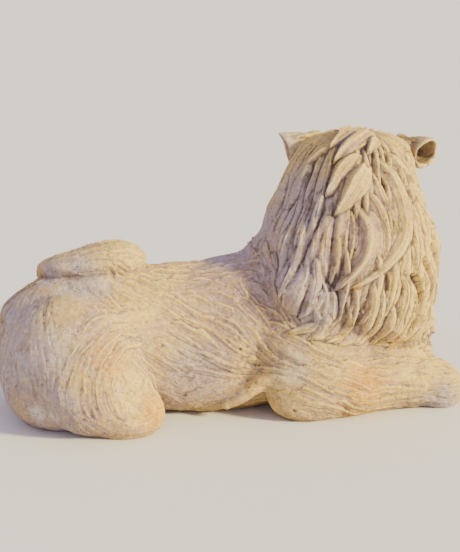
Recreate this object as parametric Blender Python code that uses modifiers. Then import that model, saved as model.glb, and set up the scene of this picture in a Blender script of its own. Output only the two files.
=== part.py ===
"""A reclining lion of fired clay, modelled by hand. It lies along +X with its head turned towards +Y.

Metres, +Z up. The origin is on the flat underside, below the middle of the back.
Places and sizes of the figure are written in hundredths of LENGTH, which at 0.94 m is 9.4 mm.
"""

import math

import bmesh
import bpy
import numpy as np
from mathutils import Matrix, Vector
from mathutils.bvhtree import BVHTree

# real sizes, in metres
LENGTH = 0.94  # rump to forepaw
EAR_WALL = 0.0075  # thickness of the cupped ears
LOCK_HEIGHT = 0.0105  # how far the mane's locks stand out
GROOVE_DEPTH = 0.004  # tool lines between the toes and round the mouth

# the finished solid
TRIANGLES = 9400
CLAY = (0.53, 0.36, 0.22, 1.0)
CLAY_ROUGHNESS = 0.88

# from here on, places and sizes are in units
UNIT = LENGTH / 100
COARSE_GRAIN = 0.75  # cell that fuses the large masses
FINE_GRAIN = 0.42  # cell that fuses the small ones

HEAD_PLACE = (29.3, 2.0, 48.5)
HEAD_HEADING = 66  # degrees from +X towards +Y
HEAD_PITCH = 6  # degrees, nose down

EAR_SPREAD = 14.4  # from the middle of the head to the middle of an ear
EAR_LIFT = 5.2  # of an ear's middle above the middle of the head
EAR_CUP = (5.2, 3.2, 3.1)  # half depth, half width and half height of an ear
EAR_OPEN = {1: 108, -1: 126}  # degrees that the left and the right ear's opening is turned outwards from the nose
EAR_FALL = 12  # degrees that an ear's opening is tipped down

MANE_AXIS = (28, 0)  # X and Y of the upright line that the mane is round
MANE_SWEEP = 12  # degrees that a lock swings towards the rump as it falls
MANE_ROWS = (
    # height of the roots, fall, degrees between locks, half width
    (55.5, 15, 22, 2.3),
    (49, 16, 17, 2.3),
    (41.5, 15, 15, 2.4),
    (34, 14.5, 13, 2.4),
    (26.5, 11, 13, 2.4),
    (18.5, 10, 15, 2.4),
    (11, 9.5, 18, 2.4),
)
FACE_LOW = 38  # the rows above this height leave room for the face
RUFF_WIDTH = 2.1  # half width of a lock in the ruff
RUFF_RINGS = (
    # radius and place forwards where a lock starts and ends round the face, and how many
    (9.6, 15.5, 5.5, -1, 20),
    (9.2, 13.0, 8, 3.5, 18),
)

PAWS = (
    # centre, reach and heading of the paws with toes
    ((45.5, -11, 3.6), 5.3, 0),
    ((39.5, 17.4, 3.4), 5.0, 8),
    ((-8.5, 19, 2.6), 4.4, 0),
)
TOE_LINE = 0.9  # half width of a line between toes


def clear_scene():
    for obj in list(bpy.data.objects):
        bpy.data.objects.remove(obj)


def new_collection(name):
    found = bpy.data.collections.get(name)
    if found:
        bpy.data.collections.remove(found)
    made = bpy.data.collections.new(name)
    bpy.context.scene.collection.children.link(made)
    return made


def move_to(obj, collection):
    for owner in list(obj.users_collection):
        owner.objects.unlink(obj)
    collection.objects.link(obj)


def object_from(name, mesh):
    obj = bpy.data.objects.new(name, mesh)
    bpy.context.scene.collection.objects.link(obj)
    return obj


def head_frame():
    """Head space: X forwards to the nose, Y to the lion's left, Z up."""
    turn = Matrix.Rotation(math.radians(HEAD_HEADING), 4, "Z")
    tilt = Matrix.Rotation(math.radians(HEAD_PITCH), 4, "Y")
    return Matrix.Translation(HEAD_PLACE) @ turn @ tilt


def lump(centre, radii, heading=0.0, pitch=0.0, roll=0.0, frame=None):
    """An egg of clay: radii along its own X, Y and Z, turned by heading, then pitched, then rolled."""
    bpy.ops.mesh.primitive_uv_sphere_add(segments=32, ring_count=18, radius=1.0)
    obj = bpy.context.object
    turn = (
        Matrix.Rotation(math.radians(heading), 4, "Z")
        @ Matrix.Rotation(math.radians(pitch), 4, "Y")
        @ Matrix.Rotation(math.radians(roll), 4, "X")
    )
    place = Matrix.Translation(centre) @ turn @ Matrix.Diagonal((*radii, 1.0))
    obj.data.transform((frame or Matrix.Identity(4)) @ place)
    return obj


def smooth_stations(stations, steps=5):
    """Catmull-Rom stations between the given ones."""
    rows = np.array(stations, float)
    padded = np.vstack([2 * rows[0] - rows[1], rows, 2 * rows[-1] - rows[-2]])
    made = []
    for i in range(1, len(padded) - 2):
        a, b, c, d = padded[i - 1 : i + 3]
        for k in range(steps):
            t = k / steps
            square = 2 * a - 5 * b + 4 * c - d
            cube = 3 * b - a - 3 * c + d
            made.append(0.5 * (2 * b + (c - a) * t + square * t**2 + cube * t**3))
    made.append(rows[-1])
    return np.array(made)


def skin_rings(rings):
    """A closed mesh through rings of equal count, with a pole at each end."""
    shape = bmesh.new()
    loops = [[shape.verts.new(p) for p in ring] for ring in rings]
    count = len(loops[0])
    for low, high in zip(loops, loops[1:]):
        for i in range(count):
            j = (i + 1) % count
            shape.faces.new((low[i], low[j], high[j], high[i]))
    for loop in (loops[0], loops[-1]):
        pole = shape.verts.new(sum((v.co for v in loop), Vector()) / count)
        for i in range(count):
            shape.faces.new((loop[i], loop[(i + 1) % count], pole))
    bmesh.ops.recalc_face_normals(shape, faces=shape.faces)
    mesh = bpy.data.meshes.new("loft")
    shape.to_mesh(mesh)
    shape.free()
    return object_from("loft", mesh)


def limb(stations, frame=None, around=24):
    """A loft along a path. Each station is x, y, z, half its width and half its height."""
    rows = smooth_stations(stations)
    path = rows[:, :3]
    along = np.gradient(path, axis=0)
    along /= np.linalg.norm(along, axis=1)[:, None]
    rings = []
    for place, way, (wide, high) in zip(path, along, rows[:, 3:]):
        side = Vector((-way[1], way[0], 0.0))
        if side.length < 0.2:
            side = Vector((0.0, 1.0, 0.0))
        side.normalize()
        up = Vector(way).cross(side)
        ring = []
        for k in range(around):
            a = 2 * math.pi * k / around
            point = Vector(place) + side * (wide * math.cos(a)) + up * (high * math.sin(a))
            ring.append(frame @ point if frame else point)
        rings.append(ring)
    return skin_rings(rings)


def stack(stations, squareness=2.0, around=48):
    """A loft up the Z axis. Each station is z, x, y, and the half widths along X and Y."""
    rows = smooth_stations(stations)
    rings = []
    for z, x, y, wide, deep in rows:
        ring = []
        for k in range(around):
            a = 2 * math.pi * k / around
            c, s = math.cos(a), math.sin(a)
            reach = (abs(c) ** squareness + abs(s) ** squareness) ** (-1 / squareness)
            ring.append(Vector((x + wide * reach * c, y + deep * reach * s, z)))
        rings.append(ring)
    return skin_rings(rings)


def trunk():
    return [
        limb(
            [
                (-47.5, -1, 13, 4, 5),
                (-45, -1, 13, 9, 9.2),
                (-39, 0, 14.3, 13, 13.7),
                (-28, 0, 15.5, 13.5, 15.9),
                (-15, 0, 15.3, 12.5, 15.8),
                (-4, 0, 15.3, 12.5, 15.8),
                (6, 0, 16.2, 13.5, 16.7),
                (16, 0, 17, 14.5, 18),
                (26, 0, 17.5, 14, 18),
                (35, 0, 17.5, 12, 16),
                (41, 0, 17.5, 8, 12),
                (43, 0, 17.5, 4, 6),
            ]
        ),
        lump((-2, 0, 7.5), (27, 12.2, 8.6)),
    ]


def rump():
    """The weight of the hindquarters, full down to the ground, and the bed of the tail's tuft."""
    return [
        lump((-35.5, 7, 6.5), (12, 11.5, 9.5)),
        lump((-35, -4, 8), (12.4, 13, 10)),
        lump((-23.5, -2, 30), (8, 4.4, 2.2)),
    ]


def near_haunch():
    """The right hind leg, folded under its thigh with the foot tucked in."""
    return [
        lump((-32.4, -7.5, 15.8), (14, 12, 12.6), heading=-6, pitch=10),
        lump((-30, -12.5, 9.5), (13, 9.6, 10), heading=-12, pitch=20),
        lump((-24.5, -15, 5.4), (9.4, 6.3, 6.8), heading=-6, pitch=16),
    ]


def far_haunch():
    """The left hind leg, with its foot flat on the ground along the belly."""
    return [
        lump((-31.4, 8, 14.8), (14.2, 10.5, 12), heading=6, pitch=10),
        lump((-26, 13, 9.5), (14, 8, 10), heading=10, pitch=10),
        lump((-17.5, 15.5, 7.5), (6.4, 5.4, 8)),
        limb(
            [
                (-26, 19.5, 3, 3.5, 3),
                (-19, 20, 3, 3.6, 3.2),
                (-12, 19.5, 3, 3.8, 3.2),
                (-8, 19, 2.6, 3.2, 2.6),
            ]
        ),
        lump((-8.5, 19, 2.6), (5.4, 4.4, 3.8)),
    ]


def forelegs():
    near = [
        lump((17, -9.8, 15.5), (12.8, 8.2, 11.5)),
        lump((17.5, -12.5, 8.5), (12.4, 6.4, 8.5), pitch=12),
        lump((17, -13.2, 4.6), (10.2, 5.8, 6)),
        limb(
            [
                (-2.5, -11.6, 2.8, 1.2, 1.2),
                (2, -12.7, 5.6, 1.7, 1.5),
                (6, -13.6, 8.8, 1.9, 1.6),
                (10, -13.6, 12.4, 1.6, 1.6),
            ]
        ),
        limb(
            [
                (16, -13, 4.6, 4.5, 5),
                (24, -13, 5.2, 5.6, 6),
                (32, -11.5, 5.6, 5.2, 6.2),
                (40, -11, 5.3, 5, 5.7),
                (45, -11, 4.7, 5.2, 5),
                (48.5, -11, 4, 4.2, 3.8),
            ]
        ),
        lump((45.5, -11, 3.6), (5.4, 5.5, 5.2)),
        lump((37.5, -6.5, 11), (7.5, 5, 5)),
    ]
    far = [
        lump((18, 9.6, 15.5), (12, 8.2, 11.5)),
        lump((18.5, 12.5, 8.5), (11, 6.2, 8.5), pitch=14),
        lump((17.5, 13.2, 4.5), (9, 5.6, 5.8)),
        limb(
            [
                (15, 13.5, 4.6, 4.5, 5),
                (23, 14.5, 4.8, 5, 5.4),
                (31, 16, 4.6, 4.6, 5),
                (37, 17, 4.2, 4.4, 4.6),
                (41, 17.5, 3.6, 4, 3.6),
            ]
        ),
        lump((39.5, 17.4, 3.4), (5.2, 5, 4.6), heading=8),
    ]
    return near + far


def mane_mass():
    bell = stack(
        [
            (-1, 31, 3, 10, 9),
            (6, 30.5, 2.5, 11, 10.5),
            (11, 29.6, 1, 12.8, 12.4),
            (15, 29, 0.8, 15.8, 14.4),
            (19, 27.8, 0.5, 17.4, 16.2),
            (24, 27, 0, 18.6, 17),
            (30, 26.6, -0.5, 19, 17),
            (36, 26.9, -1, 18.5, 16),
            (42, 27, -1.2, 16.2, 14),
            (47, 27.2, -1.4, 13.8, 12.1),
            (51, 27.6, -1.2, 12, 10.5),
            (55, 28.2, -0.8, 9, 8.2),
            (57.6, 28.6, -0.4, 6, 5.4),
            (58.8, 28.8, 0, 2, 2),
        ],
        squareness=2.25,
    )
    capes = [lump((16.5, side * 8.2, 25), (9.6, 9, 11), heading=side * 12) for side in (-1, 1)]
    shoulder = lump((14.5, -0.5, 31.5), (10, 10, 6.5))
    return [bell, shoulder] + capes


def head_mass(frame):
    """The skull, a broad face and a deep square muzzle."""
    made = [
        lump((0, 0, 1.2), (10.4, 10.4, 8.8), frame=frame),
        lump((5.2, 0, 1.2), (7.2, 8.2, 7.4), frame=frame),
        limb(
            [
                (4, 0, 4.4, 4.6, 3.4),
                (9, 0, 3.6, 3.9, 3.2),
                (14, 0, 1.6, 3.3, 2.9),
                (18, 0, -0.4, 3, 2.4),
            ],
            frame=frame,
        ),
        lump((12.4, 0, -2.8), (6.4, 5.6, 4.8), frame=frame),
        lump((8.6, 0, -6.6), (7.4, 5.8, 4.6), frame=frame),
    ]
    for side in (1, -1):
        made.append(lump((6.8, side * 5.8, -1.6), (5.4, 4, 5), frame=frame))
    return made


def face_details(frame):
    """Chin, nose, lips, brows, eyes and lower lids, pressed onto the head."""
    made = [
        lump((13.4, 0, -8.2), (3.8, 3.6, 2.7), frame=frame),
        lump((18.6, 0, -0.6), (1.8, 3, 1.9), pitch=20, frame=frame),
    ]
    for side in (1, -1):
        made += [
            lump((14.8, side * 2.9, -3.6), (4.4, 3.5, 3.5), frame=frame),
            lump((10.6, side * 4.2, 5), (2.4, 3.6, 1.6), heading=-24 * side, roll=-16 * side, frame=frame),
            lump((10.9, side * 4.5, 2.7), (1.8, 2, 1.6), frame=frame),
            lump((10.5, side * 5, 0.7), (2.2, 2.9, 1.1), heading=-24 * side, roll=16 * side, frame=frame),
        ]
    return made


def ear_place(side):
    """Where an ear stands on the head. side is 1 for the lion's left and -1 for its right."""
    return (
        Matrix.Translation((1.2, side * EAR_SPREAD, EAR_LIFT))
        @ Matrix.Rotation(math.radians(side * EAR_OPEN[side]), 4, "Z")
        @ Matrix.Rotation(math.radians(EAR_FALL), 4, "Y")
    )


def ear_root(side, frame):
    """The thick of the clay where a cupped ear grows from the head."""
    depth, width, height = EAR_CUP
    radii = (0.5 * depth, 0.6 * width, 0.6 * height)
    return lump((-0.95 * depth, 0, 0), radii, frame=frame @ ear_place(side))


def ear(side, frame):
    """A cupped leaf of clay with a tip, open outwards."""
    bpy.ops.mesh.primitive_uv_sphere_add(segments=36, ring_count=24, radius=1.0)
    obj = bpy.context.object
    shape = bmesh.new()
    shape.from_mesh(obj.data)
    everything = shape.verts[:] + shape.edges[:] + shape.faces[:]
    mouth = Vector((0.15, 0, 0))
    bmesh.ops.bisect_plane(shape, geom=everything, plane_co=mouth, plane_no=(1, 0, 0), clear_outer=True)
    for vert in shape.verts:
        reach = max(0.0, vert.co.z)
        vert.co.y *= 1 - 0.16 * reach**2
        vert.co.x += 0.22 * reach**2
    shape.to_mesh(obj.data)
    shape.free()
    obj.data.transform(Matrix.Diagonal((*EAR_CUP, 1.0)))
    wall = obj.modifiers.new("wall", "SOLIDIFY")
    wall.thickness = EAR_WALL / UNIT
    wall.offset = 0.0
    bpy.context.view_layer.update()
    solid = bpy.data.meshes.new_from_object(obj.evaluated_get(bpy.context.evaluated_depsgraph_get()))
    bpy.data.objects.remove(obj)
    solid.transform(frame @ ear_place(side))
    return object_from("ear", solid)


def tail():
    """It leaves the rump, runs up the far haunch and lays its tuft over the hips."""
    return [
        limb(
            [
                (-43, -0.5, 19, 2.6, 2.6),
                (-46.6, 2, 17, 2.4, 2.4),
                (-47, 7, 12.5, 2.1, 2.1),
                (-43.5, 12, 12, 2, 2),
                (-39.5, 14.5, 17, 2, 2),
                (-36.6, 13, 23, 2, 2),
                (-36.4, 9, 28, 2, 2),
                (-36.2, 4.5, 30.4, 2.3, 2.2),
                (-34.4, 0.5, 31.7, 3, 2.5),
                (-30.5, -0.5, 32.3, 4, 3),
                (-26, -1, 33, 4.8, 3.7),
                (-21.5, -1.5, 33, 5, 4.2),
                (-18.6, -1.5, 31.8, 3, 3),
                (-17.4, -1.5, 31, 1.4, 1.4),
            ]
        )
    ]


def fuse(objects, voxel, smoothing, name):
    """Joins overlapping lumps into one skin, as clay is pressed together, and smooths it."""
    bpy.ops.object.select_all(action="DESELECT")
    for obj in objects:
        obj.select_set(True)
    bpy.context.view_layer.objects.active = objects[0]
    bpy.ops.object.join()
    joined = bpy.context.object
    joined.name = name
    remesh = joined.modifiers.new("remesh", "REMESH")
    remesh.mode = "VOXEL"
    remesh.voxel_size = voxel
    smooth = joined.modifiers.new("smooth", "SMOOTH")
    smooth.factor = 0.5
    smooth.iterations = smoothing
    for modifier in ("remesh", "smooth"):
        bpy.ops.object.modifier_apply(modifier=modifier)
    return joined


def mesh_arrays(mesh):
    """Points and outward normals of a mesh's vertices."""
    points = np.empty(len(mesh.vertices) * 3, np.float32)
    normals = np.empty(len(mesh.vertices) * 3, np.float32)
    mesh.vertices.foreach_get("co", points)
    mesh.vertices.foreach_get("normal", normals)
    return points.reshape(-1, 3).astype(float), normals.reshape(-1, 3).astype(float)


def surface_of(mesh):
    shape = bmesh.new()
    shape.from_mesh(mesh)
    tree = BVHTree.FromBMesh(shape)
    shape.free()
    return tree


def on_mane(tree, turn, height):
    """The point of the mane at this height. turn is in degrees round its axis: 0 faces -Y and 90 faces +X."""
    a = math.radians(turn)
    out = Vector((math.sin(a), -math.cos(a), 0.0))
    start = Vector((MANE_AXIS[0], MANE_AXIS[1], height)) + out * 40
    found = tree.ray_cast(start, -out)[0]
    return found if found else Vector((MANE_AXIS[0], MANE_AXIS[1], height))


def falling_path(tree, places, steps=5):
    """A lock's spine down the mane, through (turn, height) places."""
    curve = smooth_stations([(turn, height, 0.0) for turn, height in places], steps)
    path = [on_mane(tree, turn, height) for turn, height, _ in curve]
    return np.array([tree.find_nearest(place)[0] for place in path])


def snapped_path(tree, places, steps=4):
    """A smooth line through places, laid on the surface."""
    return np.array([tree.find_nearest(Vector(p))[0] for p in smooth_stations(places, steps)])


def locate(points, normals, path, reach):
    """For the points within reach of a path: their indices, share along it, and signed distance aside."""
    low, high = path.min(0) - reach, path.max(0) + reach
    near = np.nonzero(((points > low) & (points < high)).all(1))[0]
    p, n = points[near], normals[near]
    best = np.full(len(near), 1e9)
    share, aside = np.zeros(len(near)), np.zeros(len(near))
    lengths = np.linalg.norm(np.diff(path, axis=0), axis=1)
    starts = np.concatenate([[0], np.cumsum(lengths)])
    for a, b, start, length in zip(path, path[1:], starts, lengths):
        if length < 1e-6:
            continue
        way = (b - a) / length
        t = np.clip((p - a) @ way, 0, length)
        off = p - a - t[:, None] * way
        distance = np.linalg.norm(off, axis=1)
        closer = distance < best
        best[closer] = distance[closer]
        share[closer] = (start + t[closer]) / starts[-1]
        side = np.sign(np.einsum("ij,ij->i", off, np.cross(n, way)))
        aside[closer] = (distance * side)[closer]
    kept = best < reach
    return near[kept], share[kept], aside[kept]


def raise_lock(heights, points, normals, path, width, height, crest=0.25, layer=0.0):
    """Lays a leaf of clay along a path: it swells to its width, and ends in a tip. The highest leaf shows."""
    index, t, aside = locate(points, normals, path, width)
    half = width * np.clip(np.sin(math.pi * np.clip(t, 0.02, 1) ** 0.8), 0.05, 1) ** 0.6
    s = aside / half
    inside = np.abs(s) < 1
    index, t, s = index[inside], t[inside], s[inside]
    rise = np.where(s < crest, (s + 1) / (1 + crest), (1 - s) / (1 - crest))
    ends = np.clip(t / 0.12, 0, 1) * np.clip((1 - t) / 0.1, 0, 1)
    made = height * (layer + rise**0.8) * ends**0.7
    heights[index] = np.maximum(heights[index], made)


def cut_groove(heights, points, normals, path, width, depth):
    """A rounded tool line along a path."""
    index, t, aside = locate(points, normals, path, width)
    ends = np.clip(t / 0.15, 0, 1) * np.clip((1 - t) / 0.15, 0, 1)
    heights[index] -= depth * (1 - (aside / width) ** 2) ** 2 * ends**0.5


def big_locks(tree):
    """The bold locks that spring from the whorl on the back of the head."""
    locks = [
        # half width, layer, then (turn, height) places from root to tip
        (2.6, 0.3, (4, 54.6), (-20, 57), (-46, 55.5), (-66, 51)),
        (2.5, 0.45, (2, 54.4), (-14, 55.2), (-33, 53)),
        (2.4, 0.35, (-3, 53.6), (-24, 52), (-37, 46.4)),
        (2.6, 0.5, (-2, 52.8), (-14, 49), (-29, 43)),
        (2.0, 0.1, (0, 52.4), (9, 46.5), (17, 40), (14, 35)),
        (2.6, 0.3, (8, 55), (27, 49), (31, 40.3), (6, 32.8), (-21, 28.8)),
        (1.9, 0.15, (-6, 47.6), (8, 44), (12, 38), (5, 33)),
        (3.2, 0.3, (-9, 45), (2, 40), (-2, 34.5), (-23, 28.4)),
        (1.8, 0.1, (-20, 44.5), (-18, 38.5), (-21, 33)),
        (2.4, 0.25, (14, 56), (38, 50.5), (44, 42), (36, 34.5)),
        (2.6, 0.15, (40, 57), (54, 49.5), (54, 42), (48, 35)),
        (2.6, 0.1, (58, 46), (57, 37), (59, 29), (50, 23)),
        (2.4, 0.1, (46, 40), (45, 33), (38, 27), (24, 24)),
        (2.4, 0.2, (-62, 54.5), (-65, 48), (-69, 41), (-80, 35)),
        (2.4, 0.25, (-34, 51.5), (-44, 43), (-48, 35), (-55, 26)),
    ]
    return [(falling_path(tree, places), width, layer) for width, layer, *places in locks]


def lock_rows(tree):
    """Overlapping rows of smaller locks over the rest of the mane, each row halfway between the last."""
    made = []
    for row, (top, fall, spacing, width) in enumerate(MANE_ROWS):
        count = round(360 / spacing)
        for k in range(count):
            turn = ((k + 0.5 * (row % 2)) * 360 / count + 180) % 360 - 180
            before_back = abs(turn + 90)
            before_chest = abs(turn - 90)
            under_big_locks = -36 < turn < 62 and top > 36
            before_face = abs(abs(turn) - 156) < 42 and top > FACE_LOW
            on_back = before_back < 30 and top < 40
            below_bib = before_chest > (46 if top > 12 else 30) and top < 20
            if under_big_locks or before_face or on_back or below_bib:
                continue
            wave = math.sin(2.4 * k + row)
            fallen = fall * (1 + 0.1 * wave)
            swing = -math.cos(math.radians(turn)) * MANE_SWEEP
            places = []
            for t in (0.0, 0.33, 0.67, 1.0):
                aside = swing * (1.6 * t**2.2 - 0.6 * t) + 2.5 * wave * t * (1 - t)
                places.append((turn + aside, top + wave - fallen * t))
            if before_back < 45:
                places = [(a, max(h, 34.5)) for a, h in places]
            made.append((falling_path(tree, places), width, 0.06 * row))
    return made


def face_ruff(tree, frame):
    """Locks that fan out round the face, from the brow past the cheeks to the beard."""
    made = []
    for ring, (inner, outer, front, back, count) in enumerate(RUFF_RINGS):
        for k in range(count):
            a = 2 * math.pi * (k + 0.5 * ring) / count
            lean = 0.45 * math.sin(a)
            places = []
            for t in (0.0, 0.35, 0.7, 1.0):
                radius = inner + (outer - inner) * t
                b = a + lean * t
                forwards = front + (back - front) * t
                places.append(frame @ Vector((forwards, radius * math.sin(b), radius * math.cos(b))))
            made.append((snapped_path(tree, places), RUFF_WIDTH, 0.1))
    return made


def face_lines(tree, frame):
    """The mouth, the lip's parting, the nostrils and the corners of the eyes, as tool lines on the head."""
    lines = [(0.7, (19.6, 0, -2.2), (18.6, 0, -4.4))]
    for side in (-1, 1):
        lines += [
            (0.9, (18.6, 0.3 * side, -5), (16.6, 3.6 * side, -6.6), (12.6, 5.8 * side, -6), (9.6, 6.2 * side, -5)),
            (0.7, (20.2, 1.2 * side, -0.8), (19, 2.6 * side, -0.2)),
            (0.7, (13, 2.4 * side, 1.6), (11.6, 4.2 * side, 1.4), (9.6, 7.2 * side, 3.4)),
            (0.7, (13, 2.4 * side, 1.8), (12, 4.2 * side, 4), (9.6, 7.2 * side, 3.4)),
        ]
    made = []
    for width, *places in lines:
        made.append((snapped_path(tree, [frame @ Vector(place) for place in places], 5), width))
    return made


def toe_lines(tree):
    """Tool lines between the toes of each paw, over the top and down the front."""
    made = []
    for centre, reach, heading in PAWS:
        way = Vector((math.cos(math.radians(heading)), math.sin(math.radians(heading)), 0))
        side = Vector((-way.y, way.x, 0))
        for offset in (-0.42, 0, 0.42):
            places = []
            for rise in (100, 62, 28, -12):
                a = math.radians(rise)
                out = way * math.cos(a) * reach + Vector((0, 0, math.sin(a) * reach)) + side * offset * reach
                places.append(Vector(centre) + out)
            made.append((snapped_path(tree, places, 5), TOE_LINE))
    return made


def carve(lion, frame):
    """Raises the locks and cuts the tool lines on the fused form."""
    points, normals = mesh_arrays(lion.data)
    tree = surface_of(lion.data)
    heights = np.zeros(len(points))
    for path, width, layer in lock_rows(tree) + face_ruff(tree, frame) + big_locks(tree):
        raise_lock(heights, points, normals, path, width, LOCK_HEIGHT / UNIT, layer=layer)
    for path, width in face_lines(tree, frame) + toe_lines(tree):
        cut_groove(heights, points, normals, path, width, GROOVE_DEPTH / UNIT)
    moved = points + normals * heights[:, None]
    lion.data.vertices.foreach_set("co", moved.astype(np.float32).ravel())
    lion.data.update()


def build_form():
    frame = head_frame()
    masses = trunk() + rump() + near_haunch() + far_haunch() + forelegs() + mane_mass() + head_mass(frame)
    body = fuse(masses, COARSE_GRAIN, 10, "body")
    ears = [make(side, frame) for side in (1, -1) for make in (ear, ear_root)]
    details = face_details(frame) + ears + tail()
    lion = fuse([body] + details, FINE_GRAIN, 3, "lion")
    carve(lion, frame)
    return lion


def clay_material():
    material = bpy.data.materials.new("fired_clay")
    material.use_nodes = True
    shader = material.node_tree.nodes["Principled BSDF"]
    shader.inputs["Base Color"].default_value = CLAY
    shader.inputs["Roughness"].default_value = CLAY_ROUGHNESS
    shader.inputs["Metallic"].default_value = 0.0
    return material


def finish(lion):
    """Real size, a light mesh, a flat underside, and its looks."""
    lion.data.transform(Matrix.Scale(UNIT, 4))
    thin = lion.modifiers.new("thin", "DECIMATE")
    thin.ratio = TRIANGLES / (2 * len(lion.data.polygons))
    bpy.ops.mesh.primitive_cube_add(size=4 * LENGTH, location=(0, 0, -2 * LENGTH))
    ground = bpy.context.object
    ground.name = "ground_cutter"
    ground.hide_render = True
    ground.display_type = "WIRE"
    cut = lion.modifiers.new("flat_underside", "BOOLEAN")
    cut.operation = "DIFFERENCE"
    cut.object = ground
    lion.data.materials.clear()
    lion.data.materials.append(clay_material())
    lion.data.shade_smooth()
    lion.data.set_sharp_from_angle(angle=math.radians(28))
    move_to(lion, new_collection("ceramic_lion"))
    move_to(ground, new_collection("cutters"))


def main():
    clear_scene()
    lion = build_form()
    finish(lion)
    print("ceramic lion built")


main()
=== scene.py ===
import math

import bmesh
import bpy
import numpy as np
from mathutils import Matrix, Vector, noise
from mathutils.bvhtree import BVHTree


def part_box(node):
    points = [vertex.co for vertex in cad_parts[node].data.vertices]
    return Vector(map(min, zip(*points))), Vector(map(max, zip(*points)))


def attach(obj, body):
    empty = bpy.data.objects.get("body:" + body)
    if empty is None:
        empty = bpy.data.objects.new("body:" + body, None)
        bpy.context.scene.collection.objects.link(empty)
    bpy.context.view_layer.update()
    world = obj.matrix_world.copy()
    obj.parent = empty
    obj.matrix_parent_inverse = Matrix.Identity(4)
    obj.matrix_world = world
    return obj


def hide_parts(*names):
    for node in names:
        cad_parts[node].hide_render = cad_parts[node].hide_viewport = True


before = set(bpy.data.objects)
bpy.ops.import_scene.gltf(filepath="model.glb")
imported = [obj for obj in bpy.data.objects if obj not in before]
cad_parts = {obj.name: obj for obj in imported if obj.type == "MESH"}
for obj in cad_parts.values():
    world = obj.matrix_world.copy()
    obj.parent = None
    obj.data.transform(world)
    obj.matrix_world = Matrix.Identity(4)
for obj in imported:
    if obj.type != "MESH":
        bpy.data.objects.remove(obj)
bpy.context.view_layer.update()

lowCorner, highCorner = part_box("lion")
unit = (highCorner[0] - lowCorner[0]) / 100.25  # the figure is worked out in hundredths of its length
chance = np.random.default_rng(7)

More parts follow.
